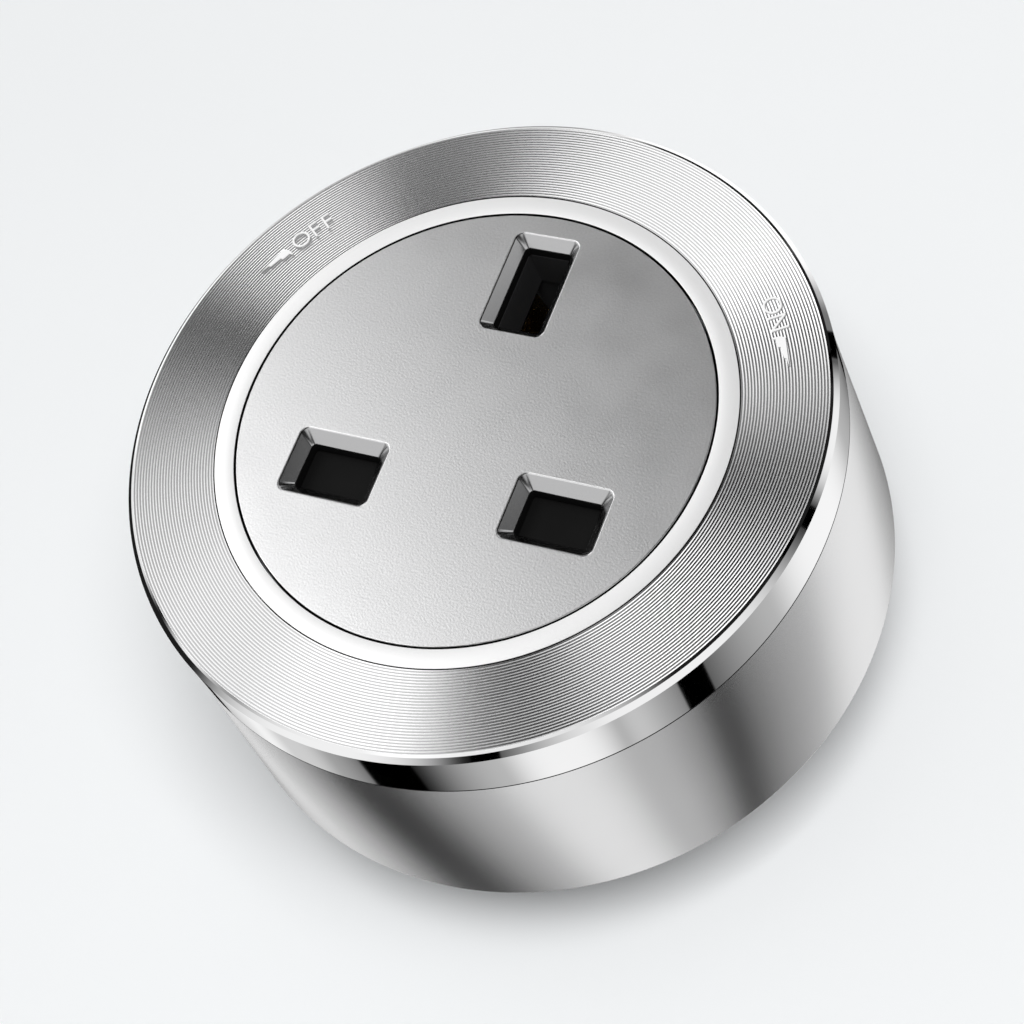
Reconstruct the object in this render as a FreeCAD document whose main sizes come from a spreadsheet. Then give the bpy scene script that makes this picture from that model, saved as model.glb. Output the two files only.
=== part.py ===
import FreeCAD, Part
import math
import os
import re
import Sketcher
from FreeCAD import Placement, Rotation, Vector

# Twist-in socket adapter for a power track. Millimetres, +Z out of the socket face and +Y towards
# the earth slot. The origin is the centre of the rear seat, the plane that meets the track.
# The front housing turns clockwise by a quarter turn on the guide, which stays keyed in the track.

SIZES = [
    # Overall form
    ("face_height", 29.0, "rear seat to socket face"),
    ("band_height", 6.15, "polished edge of the bezel, face to seam"),
    ("rim_radius", 33.3, "bezel's outside at the band"),
    ("lip_width", 0.25, "first edge break, across"),
    ("lip_drop", 0.12, "first edge break, down"),
    ("chamfer_width", 0.51, "second edge break, across"),
    ("chamfer_drop", 0.53, "second edge break, down from the face"),
    ("base_radius", 34.17, "body shell's outside at its back"),
    ("base_chamfer", 0.35, "edge break at the back of the shell"),
    ("shell_lift", 0.2, "shell's back rim above the rear seat"),
    ("fit_gap", 0.05, "assembly gap between pieces that don't move"),
    ("end_gap", 0.1, "axial gap beside the turning flange"),
    ("tap_skin", 0.8, "metal left over the bezel's blind holes"),
    # Face plate and rings
    ("plate_margin", 2.12, "face plate past the earth slot's bevel"),
    ("plate_thickness", 2.2, "face plate, and the stack that the bezel clamps"),
    ("plate_foot", 0.65, "plate's foot under the accent ring"),
    ("foot_height", 0.8, "height of the clamped feet"),
    ("accent_width", 2.01, "accent ring at the face"),
    ("accent_foot", 0.5, "accent ring's foot under the bezel"),
    # British 13 A socket
    ("pole_pitch", 22.23, "live to neutral, and earth above their line"),
    ("pole_line", -7.17, "height of the live and neutral line above the centre"),
    ("pole_width", 7.0, "live and neutral slot, across"),
    ("pole_height", 4.5, "live and neutral slot, up"),
    ("pole_bevel", 1.1, "bevel round a live or neutral slot"),
    ("earth_width", 4.6, "earth slot, across"),
    ("earth_height", 8.8, "earth slot, up"),
    ("earth_bevel", 0.95, "bevel round the earth slot"),
    ("bevel_depth", 1.1, "depth of the bevels"),
    ("mouth_corner", 0.8, "corner radius of a bevel's mouth"),
    ("slot_corner", 0.35, "corner radius of a slot"),
    # Bezel, shell and rear cover
    ("shell_wall", 1.2, "wall of the shell round the bezel's spigot"),
    ("spigot_wall", 0.8, "wall of the spigot"),
    ("spigot_depth", 2.0, "spigot below the seam"),
    ("rebate_wall", 1.82, "wall of the shell round the rear cover"),
    ("root_wall", 2.2, "wall of the shell above its ledge, at the base's radius"),
    ("cover_seat", 2.6, "rear cover's front face above the rear seat"),
    ("cover_back", 0.8, "rear cover's back face above the rear seat"),
    ("window_room", 1.0, "room past the guide key's ends in the cover's window"),
    ("ledge_width", 1.3, "shell's ledge that the cover meets"),
    ("ledge_height", 1.2, "height of that ledge"),
    ("pad_edge", 1.0, "track pad from the cover's edge"),
    ("pad_width", 4.0, "track pad, across its ring"),
    ("pad_groove", 0.3, "depth that the pad is let into the cover"),
    ("head_seat", 1.25, "depth of the counterbores in the rear cover"),
    # Socket core
    ("core_radius", 23.0, "core's block"),
    ("flange_room", 0.15, "core's clamped flange inside the bezel"),
    ("flange_thickness", 2.0, "thickness of that flange"),
    ("recess_radius", 16.4, "strap recess under the core"),
    ("recess_depth", 2.6, "depth of that recess"),
    ("bay_depth", 2.6, "shutter bay below the plate"),
    ("bay_skin", 1.8, "core between the shutter bay and the contact chambers"),
    ("pole_room_x", 3.6, "half width of a pole chamber"),
    ("pole_room_y", 3.5, "half height of a pole chamber"),
    ("earth_room_x", 3.4, "half width of the earth chamber"),
    ("earth_room_y", 4.6, "half height of the earth chamber"),
    # Shutter
    ("shutter_travel", 5.0, "shutter's slide to clear the slots"),
    ("shutter_gap", 0.2, "room round the shutter"),
    ("shutter_margin", 0.25, "shutter's overlap beyond the slots' edges"),
    ("shutter_half", 15.2, "half width of the shutter's bar"),
    ("arm_half", 1.5, "half width of the shutter's arm"),
    ("leg_thickness", 1.6, "shutter's leg beside the earth chamber"),
    ("leg_gap", 0.5, "leg's face from the earth chamber"),
    ("nose_foot_drop", 7.4, "underside of the shutter's ramp below the chamber's ceiling"),
    ("nose_top_drop", 1.0, "top of the shutter's ramp below the chamber's ceiling"),
    ("nose_tip", 0.5, "height of the ramp's tip"),
    ("nose_cover", 0.35, "ramp's reach past the travel"),
    ("spring_radius", 0.85, "middle radius of the shutter spring"),
    ("spring_wire", 0.15, "radius of its wire, which has six flats"),
    ("spring_pitch", 1.6, "its pitch"),
    ("spring_pocket", 5.2, "pocket for the spring below the bay"),
    ("spring_room", 0.25, "room round the spring"),
    ("peg_length", 2.0, "shutter's peg inside the spring"),
    # Contacts
    ("strip", 0.5, "thickness of the clips"),
    ("strap_thickness", 0.6, "thickness of the straps"),
    ("clip_mouth", 2.95, "half opening of a clip's mouth, outside"),
    ("clip_pinch", 2.35, "half opening where a clip grips, outside"),
    ("clip_root", 2.85, "half width of a clip's root, outside"),
    ("clip_room", 0.7, "earth clip below its chamber's ceiling"),
    ("clip_flare", 3.0, "height of a clip's mouth above its grip"),
    ("clip_knee", 4.6, "height where the leaves lean in"),
    ("pole_clip_half", 2.8, "half width of the pole clips"),
    ("earth_clip_half", 3.25, "half width of the earth clip"),
    ("earth_step", 1.2, "earth strap above the others"),
    ("tab_half", 1.5, "half width of the straps' tabs"),
    ("strap_half", 1.7, "half width of the pole straps"),
    ("strap_past", 2.4, "strap past the middle of its clip"),
    ("tab_offset", 2.5, "middle of the pole tabs from the axis"),
    ("rivet_radius", 0.7, "shank of the rivets"),
    ("rivet_lip", 0.5, "rivets' heads past their shanks"),
    ("rivet_head", 0.4, "height of the rivets' heads"),
    # Guide, stem and blades
    ("guide_length", 34.0, "guide key's length"),
    ("guide_width", 11.0, "guide key's width"),
    ("guide_depth", 14.0, "key below the rear seat, with its cap"),
    ("cap_height", 2.4, "guide cap"),
    ("cap_lead", 0.8, "lead-in edge of the cap"),
    ("guide_flange", 21.5, "radius of the guide's flange and of the stem's"),
    ("guide_plate", 1.6, "thickness of the guide's flange"),
    ("rib_half", 4.0, "half length of the polarising rib"),
    ("rib_height", 0.8, "polarising rib out of the key's side"),
    ("rib_drop", 2.4, "polarising rib below the rear seat"),
    ("stem_radius", 4.5, "turning stem"),
    ("stem_play", 0.05, "radial running clearance of the stem"),
    ("stem_plate", 2.4, "thickness of the stem's flange"),
    ("journal_radius", 2.6, "stem's end journal"),
    ("floor_height", 1.8, "guide's floor round the journal"),
    ("blade_half", 2.4, "half width of the blades"),
    ("blade_thickness", 0.8, "thickness of the blades"),
    ("blade_reach", 15.0, "blade tip from the axis"),
    ("blade_start", 1.2, "pole blades' inner end from the axis"),
    ("pole_level", 3.2, "top of the pole blades below the rear seat"),
    ("earth_level", 7.2, "top of the earth blade below the rear seat"),
    ("blade_room", 0.3, "room round the blades in the guide"),
    # Stop, click and fasteners
    ("stop_circle", 14.0, "stop pin from the axis"),
    ("stop_radius", 1.0, "stop pin"),
    ("stop_room", 0.2, "room round the stop pin"),
    ("stop_over", 0.6, "stop slot past the quarter turn, degrees each end"),
    ("click_angle", 300.0, "angle of the click spring"),
    ("click_thickness", 0.35, "click spring's strip"),
    ("click_clear", 0.35, "click spring's nose from the flange"),
    ("click_half", 8.5, "half length of the click spring"),
    ("click_nose", 1.3, "half width of its nose"),
    ("click_rise", 1.5, "height of its nose"),
    ("click_bow", 1.4, "rise of its arms"),
    ("click_depth", 0.6, "depth of the notches for it"),
    ("post_radius", 0.8, "posts behind the click spring"),
    ("washer_thickness", 0.3, "spindle washer"),
    ("washer_rim", 1.2, "washer past the journal"),
    ("ring_rim", 1.0, "retaining clip past the journal"),
    ("clip_groove", 0.5, "retaining clip's thickness"),
    ("groove_root", 2.0, "radius at the bottom of the clip's groove"),
    ("screw_radius", 0.95, "screw shanks"),
    ("head_height", 0.8, "screw heads"),
    ("head_radius", 1.4, "screw heads"),
    ("head_room", 0.15, "room round the screw heads"),
    ("tip_room", 0.5, "blind holes past the screws' tips"),
    ("socket_radius", 0.7, "drive recess in the heads"),
    ("tap_wall", 0.4, "wall beside the screws' holes"),
    ("boss_radius", 2.6, "core's bosses for the rear cover's screws"),
    ("boss_gap", 1.0, "bosses from the guide's flange"),
    ("screw_bite", 5.0, "screw length in the core"),
    ("cap_screw_bite", 2.0, "cap screws' length in the guide"),
    ("cap_screw_edge", 4.0, "guide cap's screws from the key's ends"),
]

# Places that follow from the sizes
PLACES = {
    "groove_radius": "(rim_radius - chamfer_width - lip_width)",
    "stack_back": "(face_height - plate_thickness)",
    "foot_top": "(stack_back + foot_height)",
    "seam": "(face_height - band_height)",
    "pole_x": "(pole_pitch / 2)",
    "earth_y": "(pole_line + pole_pitch)",
    "plate_radius": "(earth_y + earth_height / 2 + earth_bevel + plate_margin)",
    "accent_radius": "(plate_radius + fit_gap + accent_width)",
    "shell_bore": "(rim_radius - shell_wall)",
    "spigot_radius": "(shell_bore - fit_gap)",
    "spigot_inside": "(spigot_radius - spigot_wall)",
    "core_flange": "(spigot_inside - flange_room)",
    "cover_bore": "(base_radius - rebate_wall)",
    "cover_radius": "(cover_bore - fit_gap)",
    "root_bore": "(base_radius - root_wall)",
    "ledge_radius": "(cover_radius - ledge_width)",
    "cover_window": "(guide_length / 2 + window_room)",
    "pad_outer": "(cover_radius - pad_edge)",
    "pad_inner": "(pad_outer - pad_width)",
    "bay_floor": "(stack_back - bay_depth)",
    "chamber_top": "(bay_floor - bay_skin)",
    "nose_foot": "(chamber_top - nose_foot_drop)",
    "nose_top": "(chamber_top - nose_top_drop)",
    "shutter_low": "(bay_floor + shutter_gap)",
    "shutter_high": "(stack_back - shutter_gap)",
    "bar_high": "(pole_line + pole_height / 2 + shutter_margin)",
    "bar_low": "(pole_line - pole_height / 2 - shutter_margin)",
    "bay_low": "(bar_low - shutter_travel - shutter_gap)",
    "clear_of_pin": "(earth_y - earth_height / 2)",
    "leg_high": "(earth_y - earth_room_y - leg_gap)",
    "slot_half": "(arm_half + shutter_gap)",
    "nose_reach": "(clear_of_pin + shutter_travel + nose_cover)",
    "guide_low": "(cover_seat + end_gap)",
    "guide_high": "(guide_low + guide_plate)",
    "stem_low": "(guide_high + end_gap)",
    "core_foot": "(stem_low + stem_plate)",
    "recess_top": "(core_foot + recess_depth)",
    "strap_top": "(core_foot + strap_thickness)",
    "earth_strap_low": "(core_foot + earth_step)",
    "earth_strap_top": "(earth_strap_low + strap_thickness)",
    "clip_height": "(chamber_top - clip_room - earth_strap_top)",
    "clip_grip": "(clip_height - clip_flare)",
    "block_foot": "(cap_height - guide_depth)",
    "floor_top": "(block_foot + floor_height)",
    "stem_end": "(floor_top + 2 * end_gap)",
    "stem_bore": "(stem_radius + stem_play)",
    "journal_bore": "(journal_radius + stem_play)",
    "washer_top": "(block_foot - end_gap)",
    "ring_top": "(washer_top - washer_thickness - end_gap)",
    "ring_low": "(ring_top - clip_groove)",
    "journal_end": "(ring_low - 4 * end_gap)",
    "key_half": "(guide_width / 2)",
    "key_centre": "((guide_length - guide_width) / 2)",
    "cap_recess": "(journal_radius + washer_rim + 3 * end_gap)",
    "head_bore": "(head_radius + head_room)",
    "screw_hole": "(screw_radius + fit_gap)",
    "core_screw_circle": "(accent_radius + accent_foot + fit_gap + tap_wall + screw_radius)",
    "stem_screw_circle": "(recess_radius + tap_wall + screw_radius)",
    "cover_screw_circle": "(guide_flange + boss_gap + boss_radius)",
    "cap_screw_place": "(guide_length / 2 - cap_screw_edge)",
    "blade_swing": "(blade_reach + blade_room)",
    "blade_way": "(blade_half + blade_room)",
}

doc = FreeCAD.newDocument("SocketAdapter")
sheet = doc.addObject("Spreadsheet::Sheet", "Sizes")
for row, (alias, value, note) in enumerate(SIZES, 1):
    sheet.set(f"A{row}", note)
    sheet.set(f"B{row}", str(value))
    sheet.setAlias(f"B{row}", alias)
doc.recompute()

ALIASES = {alias for alias, value, note in SIZES}


def bound(text):
    """An expression on size and place names, as the sheet's own cells."""
    def swap(match):
        word = match.group(0)
        if word in PLACES:
            return bound(PLACES[word])
        return f"Sizes.{word}" if word in ALIASES else word
    return re.sub(r"[a-z][a-z_]*", swap, str(text))


def size(text):
    """The number that an expression stands for now."""
    return float(sheet.evalExpression(bound(text)))


def bind(thing, **expressions):
    for name, text in expressions.items():
        thing.setExpression(name.replace("__", "."), bound(text))


# Primitives bound to the sheet


def box(name, xs, ys, zs):
    solid = doc.addObject("Part::Box", name)
    bind(solid, Length=f"{xs[1]} - ({xs[0]})", Width=f"{ys[1]} - ({ys[0]})", Height=f"{zs[1]} - ({zs[0]})")
    bind(solid, Placement__Base__x=xs[0], Placement__Base__y=ys[0], Placement__Base__z=zs[0])
    return solid


def cylinder(name, radius, zs, at=("0", "0")):
    solid = doc.addObject("Part::Cylinder", name)
    bind(solid, Radius=radius, Height=f"{zs[1]} - ({zs[0]})")
    bind(solid, Placement__Base__x=at[0], Placement__Base__y=at[1], Placement__Base__z=zs[0])
    return solid


def turn_about_z(thing, angle):
    thing.Placement.Rotation = Rotation(Vector(0, 0, 1), 0)
    bind(thing, Placement__Rotation__Angle=angle)
    return thing


def sector(name, radius, zs, start, sweep):
    """A slice of a cylinder, from the start angle anticlockwise through the sweep."""
    solid = turn_about_z(cylinder(name, radius, zs), start)
    bind(solid, Angle=sweep)
    return solid


def fuse(name, *shapes):
    joined = doc.addObject("Part::MultiFuse", name)
    joined.Shapes = list(shapes)
    joined.Refine = True
    return joined


def cut(name, base, *tools):
    result = doc.addObject("Part::Cut", name)
    result.Base = base
    result.Tool = tools[0] if len(tools) == 1 else fuse(f"{name}_tools", *tools)
    result.Refine = True
    return result


def group(name, shapes):
    """Separate solids of one kind as one node."""
    compound = doc.addObject("Part::Compound", name)
    compound.Links = shapes
    return compound


def stadium(name, length, width, zs):
    """A bar along Y with round ends."""
    middle = f"(({length}) - ({width})) / 2"
    half = f"({width}) / 2"
    return fuse(name, box(f"{name}_bar", (f"-({half})", half), (f"-({middle})", middle), zs),
                cylinder(f"{name}_high_end", half, zs, ("0", middle)),
                cylinder(f"{name}_low_end", half, zs, ("0", f"-({middle})")))


# Sketches whose points and radii are bound to the sheet


def sketch_on(body, name, role, height="0"):
    plane = [feature for feature in body.Origin.OriginFeatures if feature.Role == role][0]
    sketch = body.newObject("Sketcher::SketchObject", name)
    sketch.AttachmentSupport = [(plane, "")]
    sketch.MapMode = "FlatFace"
    bind(sketch, AttachmentOffset__Base__z=height)
    return sketch


def hold(sketch, kind, line, point, text):
    index = sketch.addConstraint(Sketcher.Constraint(kind, -1, 1, line, point, size(text)))
    sketch.setExpression(f"Constraints[{index}]", bound(text))


def outline(sketch, points):
    """A closed outline of straight lines, each corner held from the origin."""
    corners = [Vector(size(across), size(up), 0) for across, up in points]
    count = len(corners)
    for k in range(count):
        sketch.addGeometry(Part.LineSegment(corners[k], corners[(k + 1) % count]), False)
    for k in range(count):
        sketch.addConstraint(Sketcher.Constraint("Coincident", k, 2, (k + 1) % count, 1))
    for k, (across, up) in enumerate(points):
        hold(sketch, "DistanceX", k, 1, across)
        hold(sketch, "DistanceY", k, 1, up)


def rounded_rectangle(sketch, middle, width, height, radius):
    left, right = f"({middle[0]}) - ({width}) / 2", f"({middle[0]}) + ({width}) / 2"
    low, high = f"({middle[1]}) - ({height}) / 2", f"({middle[1]}) + ({height}) / 2"
    x0, x1, y0, y1, r = size(left), size(right), size(low), size(high), size(radius)
    sides = [((x0 + r, y0), (x1 - r, y0)), ((x1, y0 + r), (x1, y1 - r)),
             ((x1 - r, y1), (x0 + r, y1)), ((x0, y1 - r), (x0, y0 + r))]
    centres = [(x1 - r, y0 + r), (x1 - r, y1 - r), (x0 + r, y1 - r), (x0 + r, y0 + r)]
    quarter = math.pi / 2
    for k in range(4):
        start, end = sides[k]
        sketch.addGeometry(Part.LineSegment(Vector(*start, 0), Vector(*end, 0)), False)
        circle = Part.Circle(Vector(*centres[k], 0), Vector(0, 0, 1), r)
        sketch.addGeometry(Part.ArcOfCircle(circle, (k - 1) * quarter, k * quarter), False)
    for k in range(8):
        sketch.addConstraint(Sketcher.Constraint("Tangent", k, 2, (k + 1) % 8, 1))
    for line, kind in ((0, "Horizontal"), (2, "Vertical"), (4, "Horizontal"), (6, "Vertical")):
        sketch.addConstraint(Sketcher.Constraint(kind, line))
    for arc in (3, 5, 7):
        sketch.addConstraint(Sketcher.Constraint("Equal", 1, arc))
    index = sketch.addConstraint(Sketcher.Constraint("Radius", 1, r))
    sketch.setExpression(f"Constraints[{index}]", bound(radius))
    hold(sketch, "DistanceY", 0, 1, low)
    hold(sketch, "DistanceX", 2, 1, right)
    hold(sketch, "DistanceY", 4, 1, high)
    hold(sketch, "DistanceX", 6, 1, left)


def turned(name, points):
    """A body turned about Z from its outline of radii and heights."""
    body = doc.addObject("PartDesign::Body", name)
    profile = sketch_on(body, f"{name}_profile", "XZ_Plane")
    outline(profile, points)
    turn = body.newObject("PartDesign::Revolution", f"{name}_turn")
    turn.Profile = profile
    turn.ReferenceAxis = (profile, ["V_Axis"])
    turn.Angle = 360
    profile.Visibility = False
    return body


def padded(name, role, points, half):
    """A body extruded from a flat outline, to the same distance on both sides of its plane."""
    body = doc.addObject("PartDesign::Body", name)
    profile = sketch_on(body, f"{name}_profile", role)
    outline(profile, points)
    pad = body.newObject("PartDesign::Pad", f"{name}_pad")
    pad.Profile = profile
    pad.Midplane = True
    bind(pad, Length=f"2 * ({half})")
    return body


def moved(thing, x="0", y="0", z="0"):
    bind(thing, Placement__Base__x=x, Placement__Base__y=y, Placement__Base__z=z)
    return thing


# Fasteners


def on_circle(circle, angle):
    return f"{circle} * cos({angle})", f"{circle} * sin({angle})"


def screw(name, at, seat, tip):
    """A cylinder-head screw that points up, from the seat of its head to its tip."""
    head_end = f"{seat} - head_height"
    blank = fuse(f"{name}_blank", cylinder(f"{name}_shank", "screw_radius", (seat, tip), at),
                 cylinder(f"{name}_head", "head_radius", (head_end, seat), at))
    drive = cylinder(f"{name}_drive", "socket_radius", (head_end, f"{head_end} + 0.6 * head_height"), at)
    return cut(name, blank, drive)


# How far a cut runs past the face it opens
PAST = 1

# Angles of the screws round the axis
CORE_SCREWS = (60, 180, 300)
STEM_SCREWS = (30, 150, 270)
COVER_SCREWS = (0, 120, 240)


# Bezel: turned ring with a double edge, a step for the accent ring and a spigot in the shell

bezel_blank = turned("bezel_blank", [
    ("accent_radius + fit_gap", "face_height"),
    ("groove_radius", "face_height"),
    ("groove_radius + lip_width", "face_height - lip_drop"),
    ("rim_radius", "face_height - chamfer_drop"),
    ("rim_radius", "seam"),
    ("spigot_radius", "seam"),
    ("spigot_radius", "seam - spigot_depth"),
    ("spigot_inside", "seam - spigot_depth"),
    ("spigot_inside", "stack_back"),
    ("accent_radius + accent_foot + fit_gap", "stack_back"),
    ("accent_radius + accent_foot + fit_gap", "foot_top + fit_gap"),
    ("accent_radius + fit_gap", "foot_top + fit_gap")])
bezel_taps = [cylinder(f"bezel_tap_{k}", "screw_radius", (f"stack_back - {PAST}", "face_height - tap_skin"),
                       on_circle("core_screw_circle", angle)) for k, angle in enumerate(CORE_SCREWS)]
bezel = cut("bezel", bezel_blank, *bezel_taps)

# Accent ring: it clamps the plate's foot and is clamped by the bezel

accent_ring = turned("accent_ring", [
    ("plate_radius + fit_gap", "face_height"),
    ("accent_radius", "face_height"),
    ("accent_radius", "foot_top"),
    ("accent_radius + accent_foot", "foot_top"),
    ("accent_radius + accent_foot", "stack_back"),
    ("plate_radius + plate_foot + fit_gap", "stack_back"),
    ("plate_radius + plate_foot + fit_gap", "foot_top + fit_gap"),
    ("plate_radius + fit_gap", "foot_top + fit_gap")])

# Face plate with three bevelled slots

face_plate = turned("face_plate", [
    ("0", "stack_back"),
    ("plate_radius + plate_foot", "stack_back"),
    ("plate_radius + plate_foot", "foot_top"),
    ("plate_radius", "foot_top"),
    ("plate_radius", "face_height"),
    ("0", "face_height")])


def bevelled_slot(name, middle, width, height, bevel):
    mouth = sketch_on(face_plate, f"{name}_mouth", "XY_Plane", "face_height")
    rounded_rectangle(mouth, middle, f"{width} + 2 * {bevel}", f"{height} + 2 * {bevel}", "mouth_corner")
    throat = sketch_on(face_plate, f"{name}_throat", "XY_Plane", "face_height - bevel_depth")
    rounded_rectangle(throat, middle, width, height, "slot_corner")
    funnel = face_plate.newObject("PartDesign::SubtractiveLoft", f"{name}_bevel")
    funnel.Profile = mouth
    funnel.Sections = [throat]
    funnel.Ruled = True
    doc.recompute()
    slot = face_plate.newObject("PartDesign::Pocket", f"{name}_slot")
    slot.Profile = throat
    bind(slot, Length="plate_thickness")


bevelled_slot("line", ("pole_x", "pole_line"), "pole_width", "pole_height", "pole_bevel")
bevelled_slot("neutral", ("-pole_x", "pole_line"), "pole_width", "pole_height", "pole_bevel")
bevelled_slot("earth", ("0", "earth_y"), "earth_width", "earth_height", "earth_bevel")

# Body shell: slightly flared sleeve with a ledge for the rear cover

body_shell = turned("body_shell", [
    ("shell_bore", "seam"),
    ("rim_radius", "seam"),
    ("base_radius", "shell_lift + base_chamfer"),
    ("base_radius - base_chamfer", "shell_lift"),
    ("cover_bore", "shell_lift"),
    ("cover_bore", "cover_seat"),
    ("ledge_radius", "cover_seat"),
    ("ledge_radius", "cover_seat + ledge_height"),
    ("root_bore", "cover_seat + ledge_height + root_bore - ledge_radius"),
    ("shell_bore", "seam - 2 * spigot_depth")])

# Rear cover with the pad's groove, the screws' counterbores and the posts of the click spring

cover_blank = turned("cover_blank", [
    ("cover_window", "cover_back"),
    ("pad_inner - fit_gap", "cover_back"),
    ("pad_inner - fit_gap", "cover_back + pad_groove"),
    ("pad_outer + fit_gap", "cover_back + pad_groove"),
    ("pad_outer + fit_gap", "cover_back"),
    ("cover_radius", "cover_back"),
    ("cover_radius", "cover_seat"),
    ("cover_window", "cover_seat")])
cover_head_seat = "cover_back + head_seat"
cover_holes = []
for k, angle in enumerate(COVER_SCREWS):
    place = on_circle("cover_screw_circle", angle)
    cover_holes.append(cylinder(f"cover_hole_{k}", "screw_hole", ("0", f"cover_seat + {PAST}"), place))
    cover_holes.append(cylinder(f"cover_bore_{k}", "head_bore", ("0", cover_head_seat), place))
post_out = "(guide_flange + click_clear + click_rise + click_bow + click_thickness + post_radius)"
post_side = "(click_half - post_radius)"
posts = [cylinder(f"click_post_{k}", "post_radius", (cover_head_seat, "guide_high"),
                  (f"{post_out} * cos(click_angle) + {side} * {post_side} * sin(click_angle)",
                   f"{post_out} * sin(click_angle) - {side} * {post_side} * cos(click_angle)"))
         for k, side in enumerate((-1, 1))]
rear_cover = fuse("rear_cover", cut("cover_drilled", cover_blank, *cover_holes), *posts)

# Track pad: soft ring between the rear cover and the track

track_pad = turned("track_pad", [
    ("pad_inner", "0"),
    ("pad_outer", "0"),
    ("pad_outer", "cover_back + pad_groove"),
    ("pad_inner", "cover_back + pad_groove")])

# Socket core: block with a clamped flange, bosses, the shutter's bay and the contact chambers

core_solid = fuse("core_solid",
                  cylinder("core_block", "core_radius", ("core_foot", "stack_back")),
                  cylinder("core_flange_disc", "core_flange", ("stack_back - flange_thickness", "stack_back")),
                  *[cylinder(f"core_boss_{k}", "boss_radius", ("cover_seat", "stack_back - fit_gap"),
                             on_circle("cover_screw_circle", angle)) for k, angle in enumerate(COVER_SCREWS)])


def pole_span(sign, half):
    return f"{sign} * pole_x - {half}", f"{sign} * pole_x + {half}"


def pole_cavity(name, sign):
    chamber = box(f"{name}_chamber", pole_span(sign, "pole_room_x"),
                  ("pole_line - pole_room_y", "pole_line + pole_room_y"), ("core_foot", "chamber_top"))
    throat = box(f"{name}_throat", pole_span(sign, "pole_width / 2"),
                 ("pole_line - pole_height / 2", "pole_line + pole_height / 2"), ("chamber_top", "stack_back"))
    return [chamber, throat]


spring_half = "spring_radius + spring_wire + spring_room"
core_cuts = [
    *pole_cavity("core_line", 1),
    *pole_cavity("core_neutral", -1),
    box("earth_chamber", ("-earth_room_x", "earth_room_x"),
        ("earth_y - earth_room_y", "earth_y + earth_room_y"), ("core_foot", "chamber_top")),
    box("earth_throat", ("-earth_width / 2", "earth_width / 2"),
        ("earth_y - earth_height / 2", "earth_y + earth_height / 2"), ("chamber_top", "stack_back")),
    box("bar_bay", ("-(shutter_half + shutter_gap)", "shutter_half + shutter_gap"),
        ("bay_low", "bar_high + shutter_gap"), ("bay_floor", "stack_back")),
    box("arm_bay", ("-slot_half", "slot_half"), ("pole_line", "clear_of_pin"), ("bay_floor", "stack_back")),
    box("leg_bay", ("-slot_half", "slot_half"),
        ("leg_high - leg_thickness - shutter_travel - shutter_gap", "earth_y"),
        ("nose_foot - shutter_gap", "bay_floor")),
    box("spring_bay", (f"-({spring_half})", spring_half), ("bay_low - spring_pocket", "bay_low"),
        ("bay_floor", "stack_back")),
    cylinder("strap_recess", "recess_radius", ("core_foot", "recess_top"))]
tap_end = "core_foot + screw_bite + tip_room"
for k, angle in enumerate(STEM_SCREWS):
    core_cuts.append(cylinder(f"core_stem_tap_{k}", "screw_radius", ("core_foot", tap_end),
                              on_circle("stem_screw_circle", angle)))
for k, angle in enumerate(COVER_SCREWS):
    core_cuts.append(cylinder(f"core_cover_tap_{k}", "screw_radius", ("cover_seat", tap_end),
                              on_circle("cover_screw_circle", angle)))
for k, angle in enumerate(CORE_SCREWS):
    core_cuts.append(cylinder(f"core_flange_hole_{k}", "screw_hole",
                              ("stack_back - flange_thickness", "stack_back"),
                              on_circle("core_screw_circle", angle)))
socket_core = cut("socket_core", core_solid, *core_cuts)

# Shutter: bar across the pole slots, and an arm whose ramp the earth pin pushes aside

shutter_side = padded("shutter_side", "YZ_Plane", [
    ("bar_low", "shutter_low"),
    ("leg_high - leg_thickness", "shutter_low"),
    ("leg_high - leg_thickness", "nose_foot"),
    ("nose_reach", "nose_foot"),
    ("nose_reach", "nose_foot + nose_tip"),
    ("leg_high", "nose_top"),
    ("leg_high", "shutter_high"),
    ("bar_low", "shutter_high")], "arm_half")
spring_middle = "(shutter_low + shutter_high) / 2"
spring_peg = cylinder("spring_peg", "spring_radius - spring_wire - shutter_gap", ("0", "peg_length + strip"))
spring_peg.Placement.Rotation = Rotation(Vector(1, 0, 0), 90)
moved(spring_peg, "0", "bar_low + strip", spring_middle)
shutter = fuse("shutter", shutter_side, spring_peg,
               box("shutter_bar", ("-shutter_half", "shutter_half"), ("bar_low", "bar_high"),
                   ("shutter_low", "shutter_high")))

# Shutter spring, between the shutter's bar and the end of its pocket

coil = doc.addObject("Part::Helix", "spring_helix")
coil.LocalCoord = 0
bind(coil, Radius="spring_radius", Pitch="spring_pitch",
     Height="bar_low - (bay_low - spring_pocket) - 2 * spring_wire - 2 * fit_gap")
wire = doc.addObject("Part::RegularPolygon", "spring_wire_section")
wire.Polygon = 6
bind(wire, Circumradius="spring_wire")
wire.Placement = Placement(Vector(0, 0, 0), Rotation(Vector(1, 0, 0), 90))
bind(wire, Placement__Base__x="spring_radius")
shutter_spring = doc.addObject("Part::Sweep", "shutter_spring")
shutter_spring.Sections = [wire]
shutter_spring.Spine = (coil, [])
shutter_spring.Solid = True
shutter_spring.Frenet = True
shutter_spring.Placement.Rotation = Rotation(Vector(1, 0, 0), 90)
moved(shutter_spring, "0", "bar_low - spring_wire - fit_gap", spring_middle)

# Contact clips: folded spring strip that grips a pin between two leaves


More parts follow.
